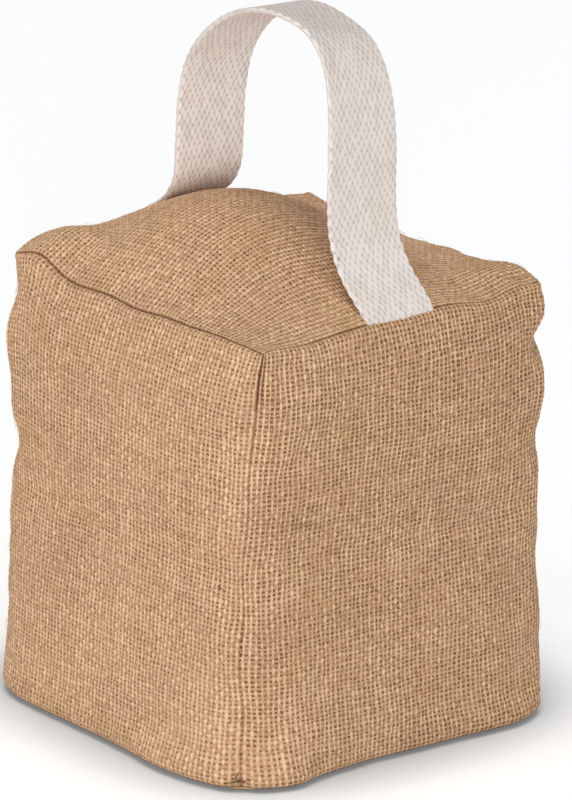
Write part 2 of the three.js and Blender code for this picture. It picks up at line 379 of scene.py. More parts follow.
# kinds of seam at the first column, the last column, the first row and the last row of each panel
panelEdges = {
    "panelRight": ("front", "upright", "base", "topRight"), "panelLeft": ("upright", "front", "base", "topLeft"),
    "panelBackLeft": ("upright", "upright", "base", "top"), "panelBackRight": ("upright", "upright", "base", "top"),
    "panelTop": ("top", "topRight", "topLeft", "top"), "panelBase": ("base",) * 4,
}


def threadLines(grid, axis, pitch, steps):
    # places along one axis of the grid, in its steps, that lie a share of a thread apart along the cloth
    dense = np.linspace(0, grid.shape[axis] - 1, 8 * grid.shape[axis])
    across = np.linspace(0.2, 0.8, 5) * (grid.shape[1 - axis] - 1)
    lines = resample(grid, dense, across) if axis == 0 else resample(grid, across, dense).transpose(1, 0, 2)
    length = np.linalg.norm(np.diff(lines, axis=0), axis=2).cumsum(0).mean(1)
    length = np.concatenate([[0], length])
    threads = round(length[-1] / pitch)
    return np.interp(np.linspace(0, length[-1], threads * steps + 1), length, dense), threads


def yarnProfile(t, share):
    return np.sqrt(np.clip(1 - (2 * np.abs(t - np.floor(t) - 0.5) / share) ** 2, 0, 1))


def seamShape(name, cube, z, distances):
    # how deep the seams draw the cloth in, and the painted shade in their grooves with the stitches and the darker
    # streak of weft, from the distances to a panel's four edges
    depth, grooveShadeAndMarks = np.zeros(z.shape), np.zeros(z.shape)
    for kind, distance in zip(panelEdges[name], distances):
        (deep, dark), roll = seams[kind], (kind != "base") * seams["roll"]
        if kind == "front":
            high, (sway, swayLength) = smoothStep(z, *seams["frontDeep"]), seams["stitchSway"]
            dashes = np.cos(2 * math.pi * z / seams["stitchPitch"] + sway * np.sin(z / swayLength))
            dashes = smoothStep(dashes, *seams["stitchFrom"]) * sum(
                smoothStep(z, low - 1, low + 1) - smoothStep(z, top - 1, top + 1) for low, top in seams["stitchRuns"])
            deep, roll = deep * between(seams["depthKept"], 1, high), roll * between(seams["rollKept"], 1, high)
            low = between(*seams["frontLow"], smoothStep(z, *seams["frontOpen"])) + seams["stitchDark"] * dashes
            dark = between(low, dark, high)
        if kind == "topRight":
            y = cube[..., 1]
            opened = smoothStep(y, *seams["opensFrom"]) * (1 - smoothStep(y, *seams["closesFrom"]))
            opened = between(seams["closedShare"], 1, opened)
            deep, dark = deep * opened, dark * opened
        depth = np.maximum(depth, deep * bell(distance, seams["grooveReach"]))
        depth = depth - roll * bell(distance - seams["rollAt"], seams["rollReach"])
        grooveShadeAndMarks = np.maximum(grooveShadeAndMarks, dark * bell(distance, seams["grooveShadeReach"]))
    if name == "panelRight":
        fold = bell(z - seams["foldTop"], seams["foldReach"])
        fold = fold * bell(distances[0] - seams["foldAt"], seams["foldWidth"])
        depth, grooveShadeAndMarks = depth + seams["foldDepth"] * fold, np.maximum(grooveShadeAndMarks, seams["foldShade"] * fold)
        y, halfY, middleZ, halfZ, slope, dark = seams["streak"]
        beside = cube[..., 1] * bag["width"] / 2 - y
        streak = bell(beside, halfY) * bell(z - middleZ - slope * beside, halfZ)
        spots = np.sin(seams["spotsAlong"] * beside) * np.sin(seams["spotsUp"][0] * beside + seams["spotsUp"][1] * z)
        grooveShadeAndMarks = np.maximum(grooveShadeAndMarks, dark * streak * (1 - seams["spotty"] * (1 - spots)))
    return depth, grooveShadeAndMarks


def settle(points, cube, near):
    # seams waver a little, and the cloth turns under round the base
    waves = np.array(seams["waverWaves"])
    waver = np.sin(points / seams["waverLength"] @ waves[:, :3].T + waves[:, 3]) * seams["waver"]
    waver = waver * (bell(near, seams["waverReach"]) * smoothStep(points[..., 2], *seams["waverFrom"]))[..., None]
    size = seams["baseRound"]
    drop = np.clip(size - points[..., 2], 0, size)
    turn = size - np.sqrt(size**2 - drop**2) - seams["baseOut"] * bell(points[..., 2], seams["baseReach"])
    rim = smoothStep(np.abs(cube[..., :2]).max(-1), *seams["baseEdge"]) * turn
    outward = unit(np.where(np.abs(cube[..., :2]) > 0, cube[..., :2], 1e-9) ** 7)
    points = points + waver
    points[..., :2] -= outward * rim[..., None]
    return points


def weavePanel(name, material):
    random = np.random.default_rng(weave["seed"] + list(panels).index(name))
    grid = bagPoints[bagGrids[name]]
    fine = name != "panelBase"
    warpSteps = weave["warpSteps"].get(name, weave["baseSteps"])
    weftSteps = weave["weftSteps"] if fine else weave["baseSteps"]
    atColumn, warps = threadLines(grid, 0, weave["warpPitch"], warpSteps)
    atRow, wefts = threadLines(grid, 1, weave["weftPitch"], weftSteps)
    points, cube = resample(grid, atColumn, atRow), resample(cageOf(name), atColumn, atRow)
    columns, rows = points.shape[:2]
    u = (np.arange(columns) / warpSteps)[:, None] + np.zeros((1, rows))
    v = (np.arange(rows) / weftSteps)[None, :] + np.zeros((columns, 1))
    edge = np.minimum(np.minimum(u, warps - u), np.minimum(v, wefts - v))     # threads from the seam

    def noise(across, up):
        # with a knot every so many threads across and up
        return softNoise(random, columns, rows, across * warpSteps, up * weftSteps)
    # threads drift together over a few centimetres and wobble one by one
    driftU, driftV = noise(11, 9) * weave["drift"], noise(9, 11) * weave["drift"]
    wobbleU = noise(1, 4) * weave["wobble"] * weave["warpPitch"]
    wobbleV = noise(4, 1) * weave["wobble"] * weave["weftPitch"]
    tangentU, tangentV = unit(np.gradient(points, axis=0)), unit(np.gradient(points, axis=1))
    calm = np.clip(edge / weave["calmDrift"], 0, 1)[..., None]
    normals = gridNormals(points)
    points = points + calm * (tangentU * (driftU + wobbleU)[..., None] + tangentV * (driftV + wobbleV)[..., None])
    # thick and thin places run along each yarn
    warpSize, weftSize = 1 + weave["slubs"] * noise(1, 6), 1 + weave["slubs"] * noise(6, 1)
    radius, swing = weave["yarnRadius"], weave["swing"]
    warpRound, weftRound = yarnProfile(u, weave["yarnShare"]), yarnProfile(v, weave["yarnShare"])
    warpTop = swing * np.cos(math.pi * (v - 0.5 + np.floor(u))) + radius * (warpSize * warpRound - 1)
    weftTop = swing * np.cos(math.pi * (u + 0.5 + np.floor(v))) + radius * (weftSize * weftRound - 1)
    hole = np.maximum(warpRound, weftRound) < weave["holeFrom"]
    height = (np.maximum(warpTop, weftTop) - weave["hole"] * hole) * fine
    loose = weave["loosePatches"] * noise(9, 9) + weave["looseThreads"] * noise(1.5, 1.5)
    loose = loose + weave["openness"].get(name, 0)
    tighter = weave["tighterAtSeam"] * bell(np.abs(cube[..., 0] - cube[..., 1]) - 2, weave["seamReach"])
    loose = loose - smoothStep(-cube[..., 2], 0, weave["lowReach"]) * (weave["tighterLow"] + tighter)
    if name == "panelRight":
        amount, along, reachAlong, up, reachUp = weave["openHigh"]
        loose = loose + amount * bell(cube[..., 1] - along, reachAlong) * bell(cube[..., 2] - up, reachUp)
    if name == "panelTop":
        # painted light: the holes close towards the far corner of the top, lightening the part of the dome turned from
        # the lamps
        loose = loose - weave["farPaintedLight"] * smoothStep(cube[..., 1] - cube[..., 0], *weave["farFrom"])
    distances = (u * weave["warpPitch"], (warps - u) * weave["warpPitch"],
                 v * weave["weftPitch"], (wefts - v) * weave["weftPitch"])
    depth, grooveShadeAndMarks = seamShape(name, cube, points[..., 2], distances)
    points = settle(points, cube, np.minimum.reduce(distances))
    inward = -unit(cube ** 15)
    calm = np.clip(edge / weave["calmRelief"], 0, 1)[..., None]
    points = points + normals * height[..., None] * calm + inward * depth[..., None]
    points[..., 2] = np.maximum(points[..., 2], 0)
    # seam allowance, turned in behind the seam
    padded = np.pad(points, ((1, 1), (1, 1), (0, 0)), mode="edge")
    border = np.ones(padded.shape[:2], bool)
    border[1:-1, 1:-1] = False
    behind = np.pad(inward, ((1, 1), (1, 1), (0, 0)), mode="edge")
    padded = np.where(border[..., None], padded + behind * weave["allowance"], padded)
    # the seam attribute holds the painted shade of the grooves, the stitches and the darker streak of weft
    spread = [np.pad(values, 1, mode="edge") for values in (u, v, loose, grooveShadeAndMarks)]
    obj = meshObject(name, padded, gridQuads(columns + 2, rows + 2), np.stack(spread[:2], -1),
                     {"loose": spread[2], "seam": spread[3]}, material)
    print(name, "threads", warps, "x", wefts, "quads", len(obj.data.polygons))
    return obj


# Materials

def nodeTree(name):
    material = bpy.data.materials.new(name)
    material.use_nodes = True
    tree = material.node_tree
    tree.nodes.clear()
    shader = tree.nodes.new("ShaderNodeBsdfPrincipled")
    output = tree.nodes.new("ShaderNodeOutputMaterial")
    tree.links.new(shader.outputs[0], output.inputs["Surface"])
    return material, tree, shader


def setInputs(tree, node, inputs):
    # links where a socket is given, and constants on the node's own sockets
    for key, value in inputs.items():
        if isinstance(value, bpy.types.NodeSocket):
            tree.links.new(value, node.inputs[key])
        else:
            node.inputs[key].default_value = value
    return node


def addNode(tree, kind, inputs=None, **settings):
    node = tree.nodes.new(kind)
    for key, value in settings.items():
        setattr(node, key, value)
    return setInputs(tree, node, inputs or {})


def mathNode(tree, operation, *values):
    return addNode(tree, "ShaderNodeMath", dict(enumerate(values)), operation=operation).outputs[0]


def vectorNode(tree, operation, first, second):
    key = 3 if operation == "SCALE" else 1
    return addNode(tree, "ShaderNodeVectorMath", {0: first, key: second}, operation=operation).outputs[0]


def combined(tree, *values):
    return addNode(tree, "ShaderNodeCombineXYZ", dict(enumerate(values))).outputs[0]


def noiseNode(tree, place, scale, detail, **inputs):
    return addNode(tree, "ShaderNodeTexNoise", {"Vector": place, "Scale": scale, "Detail": detail, **inputs}).outputs


def chanceNode(tree, kind, place):
    # a number from 0 to 1 by chance, the same wherever the place is the same
    key = "W" if kind == "1D" else "Vector"
    return addNode(tree, "ShaderNodeTexWhiteNoise", {key: place}, noise_dimensions=kind).outputs["Value"]


def attributeNode(tree, name):
    return addNode(tree, "ShaderNodeAttribute", attribute_name=name).outputs["Fac"]


def placeNode(tree, threads=False):
    # place on the cloth in threads, or else on the piece in metres
    if threads:
        return addNode(tree, "ShaderNodeUVMap", uv_map="threads").outputs[0]
    return addNode(tree, "ShaderNodeTexCoord").outputs["Object"]


def mixNode(tree, factor, first, second):
    return addNode(tree, "ShaderNodeMix", {0: factor, 2: first, 3: second}).outputs[0]


def varied(tree, value, changes):
    # the value with each change, which runs from 0 to 1, added or taken away by its amount
    for change, amount in changes:
        value = mathNode(tree, "MULTIPLY_ADD", mathNode(tree, "SUBTRACT", change, 0.5), amount, value)
    return value


def mixColour(tree, factor, first, second, blend="MIX"):
    node = addNode(tree, "ShaderNodeMix", {0: factor, 6: first, 7: second}, data_type="RGBA", blend_type=blend)
    return node.outputs[2]


def colour(red, green, blue):
    # a colour as a picture shows it, from 0 to 255
    return tuple(((c / 255 + 0.055) / 1.055) ** 2.4 for c in (red, green, blue)) + (1,)


def newGroup(name, inputs, outputs):
    group = bpy.data.node_groups.new(name, "ShaderNodeTree")
    for label, value in inputs.items():
        kind = "NodeSocketVector" if isinstance(value, tuple) else "NodeSocketFloat"
        group.interface.new_socket(label, in_out="INPUT", socket_type=kind).default_value = value
    for label in outputs:
        group.interface.new_socket(label, in_out="OUTPUT", socket_type="NodeSocketFloat")
    return group, group.nodes.new("NodeGroupInput").outputs, group.nodes.new("NodeGroupOutput")


def ramp(tree, value, low, high, start=0.0, end=1.0):
    node = addNode(tree, "ShaderNodeMapRange", {0: value, 1: low, 2: high, 3: start, 4: end},
                   interpolation_type="SMOOTHSTEP")
    return node.outputs[0]


def tinted(tree, base, spots, tints):
    # each tint laid over the base colour in soft patches of its own
    noise = noiseNode(tree, placeNode(tree), spots["scale"], spots["detail"])
    parts = addNode(tree, "ShaderNodeSeparateColor", {0: noise["Color"]}).outputs
    for part, tint in zip(parts, tints):
        base = mixColour(tree, ramp(tree, part, 0.5, 0.75, 0.0, spots["most"]), base, tint)
    return base


def setSurface(tree, shader, base, look, relief=None):
    inputs = {"Base Color": base, "Roughness": look["roughness"], "Specular IOR Level": look["specular"]}
    if relief:
        bump = {"Height": relief, "Strength": look["bump"], "Distance": look["bumpDistance"] * mm}
        inputs["Normal"] = addNode(tree, "ShaderNodeBump", bump).outputs[0]
    setInputs(tree, shader, inputs)


def toneRamp(tree, value, tones):
    # colours at places from 0 to 1, the first two on the ramp's own two stops
    node = addNode(tree, "ShaderNodeValToRGB", {0: value})
    stops = node.color_ramp.elements
    for number, (place, tone) in enumerate(tones):
        stop = stops[number] if number < 2 else stops.new(place)
        stop.position, stop.color = place, tone
    return node.outputs[0]


def fibreGroup():
    # fine fibres laid along a yarn, shared by the hessian, the webbing and the sewing thread
    group, given, result = newGroup("fibres", {"Place": (0, 0, 0), "Stretch": (1, 6, 1), "Scale": 2.0}, ["Strands"])
    place = vectorNode(group, "MULTIPLY", given["Place"], given["Stretch"])
    setInputs(group, result, {"Strands": noiseNode(group, place, given["Scale"], 3.0, Roughness=0.6)["Fac"]})
    return group


def strandsAlong(tree, place, stretch, scale):
    inputs = {"Place": place, "Stretch": stretch, "Scale": scale}
    return addNode(tree, "ShaderNodeGroup", inputs, node_tree=fibres).outputs["Strands"]


def roundSection(group, share, width):
    # height of a round yarn, 1 at its middle and 0 at its edge, from the share of the way across its pitch
    do = partial(mathNode, group)
    side = do("DIVIDE", do("SUBTRACT", do("FRACT", share), 0.5), do("MULTIPLY", width, 0.5))
    return do("MAXIMUM", 0.0, do("SUBTRACT", 1.0, do("MULTIPLY", side, side)))


hessian = {
    # the tops of the yarns are painted pale and their sides and dips dark: partly worn, fuzzy tops, partly painted
    # highlight and painted shade
    "pale": colour(239, 201, 166), "yarn": colour(208, 169, 133), "dark": colour(177, 138, 104),
    # the holes are painted in the brown of the bag's inside, as painted shade
    "hole": colour(134, 97, 67), "rosy": colour(192, 146, 120), "golden": colour(196, 158, 110),
    # the seam colour is painted shade in the seam grooves, and the colour of the stitches and the darker streak of weft
    "seam": colour(110, 72, 42), "seamShadeAndMarks": 0.85, "spots": {"scale": 45.0, "detail": 0.0, "most": 0.22},
    "roughness": 0.92, "specular": 0.15, "bump": 0.4, "bumpDistance": 1, "fibreRelief": 0.25,
    # how much the yarns, the single floats, the fibres and the cloth as a whole vary
    "yarnVaries": 0.2, "floatVaries": 0.35, "fibresVary": 0.6, "clothVaries": 0.1,
    "yarnWidth": 0.56, "widthVaries": 0.5, "looseness": 0.16, "weftWider": 0.08, "weftShare": 0.7,
    "warpShare": 1.05, "sag": (0.22, 0.3), "gapUntil": 0.6, "holesVary": (0.0, 0.75, 0.15, 1.0),
    # how fine the chance patterns are, and how the fibres stretch along the weft and the warp
    "nudgeScale": 0.55, "unevenScale": 0.8, "clothScale": 30.0, "fibreScale": 1.7,
    "fibreStretch": ((0.5, 2.2, 1), (2.2, 0.5, 1)), "darkUntil": 0.1, "yarnAt": 0.62,
}


def weaveGroup():
    # plain weave of round yarns over the place given in threads, with the heights in millimetres
    group, given, result = newGroup("plainWeave", {"Place": (0, 0, 0), "Warp Width": 0.6, "Weft Width": 0.8,
                                                   "Nudge": 0.45, "Warp Share": 1.0, "Weft Share": 0.8},
                                    ["Height", "Crest", "Gap", "Warp", "Yarn", "Float"])
    do = partial(mathNode, group)
    nudge = noiseNode(group, given["Place"], hessian["nudgeScale"], 1.0)["Color"]
    nudge = vectorNode(group, "SUBTRACT", nudge, (0.5, 0.5, 0.5))
    nudged = vectorNode(group, "ADD", given["Place"], vectorNode(group, "SCALE", nudge, given["Nudge"]))
    u, v = addNode(group, "ShaderNodeSeparateXYZ", {0: nudged}).outputs[:2]
    column, row = do("FLOOR", u), do("FLOOR", v)
    warpRound = roundSection(group, u, given["Warp Width"])
    weftRound = roundSection(group, v, given["Weft Width"])
    tops, crests = [], []
    warpSag, weftSag = hessian["sag"]
    for section, along, other, shift, sag, share in ((warpRound, v, column, -0.5, warpSag, given["Warp Share"]),
                                                     (weftRound, u, row, 0.5, weftSag, given["Weft Share"])):
        wave = do("COSINE", do("MULTIPLY", math.pi, do("ADD", along, do("ADD", other, shift))))
        crests.append(do("MULTIPLY", do("MULTIPLY", section, share), do("MULTIPLY_ADD", wave, sag, 1.0 - sag)))
        section = do("MULTIPLY", do("SUBTRACT", section, 1.0), weave["yarnRadius"])
        tops.append(do("MULTIPLY_ADD", wave, weave["swing"], section))
    height = do("MAXIMUM", *tops)
    warp = do("GREATER_THAN", *tops)
    gap = do("MULTIPLY", *(ramp(group, section, 0.0, hessian["gapUntil"], 1.0, 0.0)
                           for section in (warpRound, weftRound)))
    perHole = chanceNode(group, "3D", combined(group, do("ROUND", u), do("ROUND", v), 7.0))
    gap = do("MULTIPLY", gap, ramp(group, perHole, *hessian["holesVary"]))
    perWarp, perWeft = (chanceNode(group, "1D", do("ADD", *parts)) for parts in ((column, 0.5), (row, 500.5)))
    setInputs(group, result, {"Height": height, "Crest": do("MAXIMUM", *crests), "Gap": gap, "Warp": warp,
                              "Yarn": mixNode(group, warp, perWeft, perWarp),
                              "Float": chanceNode(group, "2D", combined(group, column, row))})
    return group


fibres, plainWeave = fibreGroup(), weaveGroup()


def hessianMaterial():
    material, tree, shader = nodeTree("hessian")
    do, place = partial(mathNode, tree), placeNode(tree, threads=True)
    uneven = noiseNode(tree, place, hessian["unevenScale"], 1.0)["Fac"]
    width = varied(tree, hessian["yarnWidth"], [(uneven, hessian["widthVaries"])])
    width = do("SUBTRACT", width, do("MULTIPLY", attributeNode(tree, "loose"), hessian["looseness"]))
    wider = do("ADD", width, hessian["weftWider"])
    threads = addNode(tree, "ShaderNodeGroup", {"Place": place, "Warp Width": width, "Weft Width": wider,
                                                "Warp Share": hessian["warpShare"], "Weft Share": hessian["weftShare"]},
                      node_tree=plainWeave).outputs
    along = [strandsAlong(tree, place, stretch, hessian["fibreScale"]) for stretch in hessian["fibreStretch"]]
    strands = mixNode(tree, threads["Warp"], *along)
    cloth = noiseNode(tree, placeNode(tree), hessian["clothScale"], 2.0)["Fac"]
    # yarn tops painted pale and sides and dips dark, partly worn tops and partly painted highlight and painted shade
    shade = varied(tree, threads["Crest"], [(threads["Yarn"], hessian["yarnVaries"]),
                                            (threads["Float"], hessian["floatVaries"]),
                                            (strands, hessian["fibresVary"]), (cloth, hessian["clothVaries"])])
    tones = toneRamp(tree, shade, [(hessian["darkUntil"], hessian["dark"]), (1.0, hessian["pale"]),
                                   (hessian["yarnAt"], hessian["yarn"])])
    base = tinted(tree, tones, hessian["spots"], (hessian["rosy"], hessian["golden"]))
    # painted shade in the holes of the weave
    base = mixColour(tree, threads["Gap"], base, hessian["hole"])
    # painted shade in the seam grooves, with the stitches and the darker streak of weft
    base = mixColour(tree, do("MULTIPLY", attributeNode(tree, "seam"), hessian["seamShadeAndMarks"]), base, hessian["seam"])
    setSurface(tree, shader, base, hessian, do("MULTIPLY_ADD", strands, hessian["fibreRelief"], threads["Height"]))
    return material


hessianCloth = hessianMaterial()
bagPieces = [weavePanel(name, hessianCloth) for name in panels]
for panel in bagPieces:
    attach(panel, "root")
    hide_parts("hessian_bag")


# Webbing strap, bent along the path of its solid
strap = {
    "width": 35, "thickness": 2, "centreY": -0.5, "tuck": 10, "inset": 1.2,
    "tilt": 8, "tiltX": 34, "tiltReach": 32, "tiltHeight": 284, "tiltDrop": 26,
    # middle line of the free loop seen from the side, in X and Z
    "loop": [(-66, 190.5), (-56.5, 196.3), (-48.8, 202.6), (-44, 211.5), (-43, 226), (-41.8, 244),
             (-37.3, 260.5), (-26.5, 274.6), (-11, 284.9), (6.2, 289.2), (22.8, 288.2), (36.6, 283.6), (44.9, 273.8),
             (49.2, 259), (50.8, 240), (50.8, 223), (52.8, 207.4), (60.2, 194.2)],
    "ribs": 25, "ribSteps": 3, "floatLength": 5.3, "floatSteps": 8, "relief": 0.3, "slant": 0.0, "innerSlant": -0.2,
    "floatHalfWidth": 0.85, "floatHalfLength": 0.45,
    "scallop": 4.9, "scallopDepth": 0.3, "selvedge": 1.2, "seed": 5, "unevenLengths": 0.2, "unevenRibs": 0.28,
    # painted light: the inner face is painted paler, standing in for light that the arch and the other leg keep from
    # it, up to the first height, and all but the same as the outer one from the next
    "innerPaintedLightFade": (235, 280),
    # the shade colour is painted shade between the floats
    "pale": colour(235, 226, 220), "shade": colour(194, 181, 173), "cream": colour(230, 218, 203),
    "pink": colour(236, 218, 215), "inner": colour(253, 243, 236),
    "fibresVary": 0.5, "floatVaries": 0.45, "fibreScale": 1.5, "fibreStretch": (4, 1.5, 1), "shadeMost": 0.85,
    "spots": {"scale": 55.0, "detail": 1.0, "most": 0.5},
    "roughness": 0.9, "specular": 0.2, "bump": 0.45, "bumpDistance": 0.4, "fibreRelief": 0.2,
}


def strapLine():
    share = 2 * strap["centreY"] / bag["depth"]
    low, high = bagSkin(*np.array([[-1, 1], [share, share], [1, 1.0]]))
    inset, tuck, thick = strap["inset"], strap["tuck"], strap["thickness"]
    line = [(low[0] + inset, low[2] - tuck), (low[0] + inset, low[2] - tuck / 2),
            (low[0] + 2 * inset, low[2] + thick), *strap["loop"],
            (high[0] - 1.5 * inset, high[2] + thick), (high[0] - inset, high[2] - tuck / 2),
            (high[0] - inset, high[2] - tuck)]
    line = np.array(line)
    dense = resample(line[:, None, :], np.linspace(0, len(line) - 1, 1200), [0, 0])[:, 0]
    length = np.concatenate([[0], np.linalg.norm(np.diff(dense, axis=0), axis=1).cumsum()])
    steps = round(length[-1] / strap["floatLength"] * strap["floatSteps"])
    along = np.linspace(0, length[-1], steps + 1)
    return np.stack([np.interp(along, length, dense[:, k]) for k in (0, 1)], -1), along


def floatTops(rib, y, slant):
    # height of the floats, lying along the ribs and staggered by half a length from rib to rib
    tops = []
    for shift in (0, 1):
        across, along = (rib - 0.5 - shift) / 2, y - 0.5 * shift
        across, along = 2 * (across - np.round(across)), along - np.round(along)
        across = (across - slant * along) / strap["floatHalfWidth"]
        tops.append(np.sqrt(np.clip(1 - across**2 - (along / strap["floatHalfLength"]) ** 2, 0, 1)))
    return np.maximum(*tops)


def makeStrap(material):
    line, along = strapLine()
    random = np.random.default_rng(strap["seed"])
    tangent = unit(np.gradient(line, axis=0))
    outward = np.stack([-tangent[:, 1], tangent[:, 0]], -1)
    across = strap["ribs"] * strap["ribSteps"]
    share = np.linspace(-0.5, 0.5, across + 1)
    wave = strap["scallopDepth"] * np.cos(2 * math.pi * along / strap["scallop"])
    tilt = strap["tilt"] * bell(line[:, 0] - strap["tiltX"], strap["tiltReach"])
    tilt = tilt * bell(line[:, 1] - strap["tiltHeight"], strap["tiltDrop"])
    selvedge = np.clip((0.5 - np.abs(share)) * strap["width"] / strap["selvedge"], 0, 1)

    def noise(floats, ribs):
        return softNoise(random, len(along), across + 1, floats * strap["floatSteps"], ribs * strap["ribSteps"])
    grids, places = [], []
    for side in (1, -1):
        y = along[:, None] / strap["floatLength"] + side * 0.25
        y = y + strap["unevenLengths"] * noise(3, 3)
        rib = (share[None, :] + 0.5) * strap["ribs"] * np.ones((len(along), 1))
        rib = rib + strap["unevenRibs"] * noise(2, 4)
        slant = strap["slant" if side > 0 else "innerSlant"]
        relief = strap["relief"] * (floatTops(rib, side * y, slant) - 0.6)
        width = strap["width"] * share[None, :] * np.ones((len(along), 1))
        width = width + np.sign(share)[None, :] * wave[:, None] * (1 - selvedge)[None, :]
        rise = side * (strap["thickness"] / 2 * np.sqrt(selvedge * (2 - selvedge))[None, :] + relief * selvedge)
        rise = rise - tilt[:, None] * width / strap["width"]
        points = np.empty((len(along), across + 1, 3))
        points[..., 0] = line[:, None, 0] + outward[:, None, 0] * rise
        points[..., 1] = width + strap["centreY"]
        points[..., 2] = line[:, None, 1] + outward[:, None, 1] * rise
        grids.append(points)
        places.append(np.stack([rib, y * side], -1))
    # outer face, then the inner face run back, so that each row is a ring round the band
    ring = np.concatenate([grids[0][:, :-1], grids[1][:, :0:-1]], 1)
    uv = np.concatenate([places[0][:, :-1], places[1][:, :0:-1]], 1)
    ring, uv = np.concatenate([ring, ring[:, :1]], 1), np.concatenate([uv, uv[:, :1]], 1)
    rows, columns = ring.shape[:2]
    quads = gridQuads(rows, columns)
    # the inner face is marked, and painted paler as painted light, fading out towards the top of the arch
    inner = np.tile(np.repeat([0, 1, 0], [across, across, 1]), (rows, 1))
    inner = inner * (1 - 0.8 * smoothStep(line[:, 1], *strap["innerPaintedLightFade"]))[:, None]
    obj = meshObject("strap", ring, quads[:, ::-1], uv, {"inner": inner}, material)
    print("strap quads", len(quads), "length", round(float(along[-1])))
    return obj


def webbingGroup():
    # the same floats for the material, at the place given in ribs and float lengths
    group, given, result = newGroup("webbingFloats", {"Place": (0, 0, 0), "Slant": 0.0}, ["Crest", "Float"])
    do = partial(mathNode, group)
    rib, y = addNode(group, "ShaderNodeSeparateXYZ", {0: given["Place"]}).outputs[:2]
    tops, perFloat = [], []
    for shift in (0, 1):
        across = do("MULTIPLY_ADD", rib, 0.5, -0.25 - shift / 2)
        along = do("SUBTRACT", y, shift / 2)
        place = combined(group, do("ROUND", across), do("ROUND", along), shift)
        perFloat.append(chanceNode(group, "3D", place))
        across = do("MULTIPLY", do("SUBTRACT", across, do("ROUND", across)), 2.0)
        along = do("SUBTRACT", along, do("ROUND", along))
        leaned = do("SUBTRACT", across, do("MULTIPLY", along, given["Slant"]))
        across = do("DIVIDE", leaned, strap["floatHalfWidth"])
        along = do("DIVIDE", along, strap["floatHalfLength"])
        far = do("MULTIPLY_ADD", along, along, do("MULTIPLY", across, across))
        tops.append(do("SQRT", do("MAXIMUM", do("SUBTRACT", 1.0, far), 0.0)))
    odd = do("GREATER_THAN", tops[1], tops[0])
    setInputs(group, result, {"Crest": do("MAXIMUM", *tops), "Float": mixNode(group, odd, *perFloat)})
    return group


webbingFloats = webbingGroup()


def webbingMaterial():
    material, tree, shader = nodeTree("webbing")
    do, place, inner = partial(mathNode, tree), placeNode(tree, threads=True), attributeNode(tree, "inner")
    slant = do("MULTIPLY_ADD", inner, strap["innerSlant"] - strap["slant"], strap["slant"])
    floats = addNode(tree, "ShaderNodeGroup", {"Place": place, "Slant": slant}, node_tree=webbingFloats).outputs
    strands = strandsAlong(tree, place, strap["fibreStretch"], strap["fibreScale"])
    # painted shade between the floats, darker where their crests fall away
    shade = varied(tree, do("SUBTRACT", 1.0, floats["Crest"]), [(strands, strap["fibresVary"]),
                                                                (floats["Float"], strap["floatVaries"])])
    base = tinted(tree, strap["pale"], strap["spots"], (strap["cream"], strap["pink"]))
    # painted light: the inner face painted paler
    base = mixColour(tree, inner, base, strap["inner"])
    base = mixColour(tree, ramp(tree, shade, 0.0, 1.0, 0.0, strap["shadeMost"]), base, strap["shade"])
    setSurface(tree, shader, base, strap, do("MULTIPLY_ADD", strands, strap["fibreRelief"], floats["Crest"]))
    return material


strapPiece = makeStrap(webbingMaterial())
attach(strapPiece, "root")
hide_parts("webbing_strap")


# Sewing thread and loose fibres, laid out by geometry nodes
thread = {
    "radius": 0.36, "length": 1.2, "lowest": 9, "highest": 113, "pitch": 2.9, "sunk": 0.1, "seed": 3,
    "smallest": 0.45, "largest": 1.25, "lean": 0.12, "spin": 0.3, "thinEnds": 0.8,
    "brown": colour(116, 80, 50), "yellow": colour(192, 162, 112), "roughness": 0.85, "specular": 0.2,
    "fibreScale": 900.0, "fibreStretch": (1, 1, 0.4), "darker": 0.7, "jitter": 0.5, "inGroove": 0.3,
    # the knot at the foot of the front seam, the loose ends beside it and a caught hair, all laid on the cloth
    "knot": [(79, -82, 9), (79, -83, 6.4), (81, -83, 4.4), (80.5, -84, 3.2), (78, -86, 2.4), (75, -87, 1.9)],
    "ends": [[(76, -86, 4.6), (78, -85, 3.2), (80, -84, 2.4), (82, -83, 3.4)],
             [(75, -86, 1.9), (77, -86, 3.4), (79, -85, 4.4), (80, -84, 6.2)]],
    "hair": [(64, -80, 82.1), (65, -80, 81.5), (66.2, -80, 81.3)], "raised": 0.45,
    "strapEnd": [(58.4, -18.3, 203.2), (59.0, -18.9, 202.6), (58.9, -18.7, 201.8)],
}
fluff = {
    "radius": 0.07, "density": 4200, "length": 7, "rise": 0.9, "bend": 1.6, "lowest": 12, "seed": 8,
    "smallest": 0.4, "largest": 1.2, "lean": 0.12, "spin": math.pi, "pale": colour(226, 192, 152),
}


def tubeGrid(path, radius, count):
    # a thin closed tube of four sides along a smooth line through the path's points
    path = np.array(path, float)
    line = resample(path[:, None, :], np.linspace(0, len(path) - 1, count), [0, 0])[:, 0]
    tangent = unit(np.gradient(line, axis=0))
    side = unit(np.cross(tangent, (0.31, 0.17, 0.93)))
    other = np.cross(tangent, side)
    taper = radius * np.minimum(1, np.minimum(np.arange(count), np.arange(count)[::-1]) * 0.5 + 0.5)
    angles = np.arange(4) * math.pi / 2
    ring = np.cos(angles)[None, :, None] * side[:, None] + np.sin(angles)[None, :, None] * other[:, None]
    points = (line[:, None] + ring * taper[:, None, None]).reshape(-1, 3)
    index = np.arange(count * 4).reshape(count, 4)
    after = np.roll(index, -1, axis=1)
    quads = np.stack([index[:-1], after[:-1], after[1:], index[1:]], -1).reshape(-1, 4)
    return points, np.concatenate([quads, index[:1, ::-1], index[-1:]])


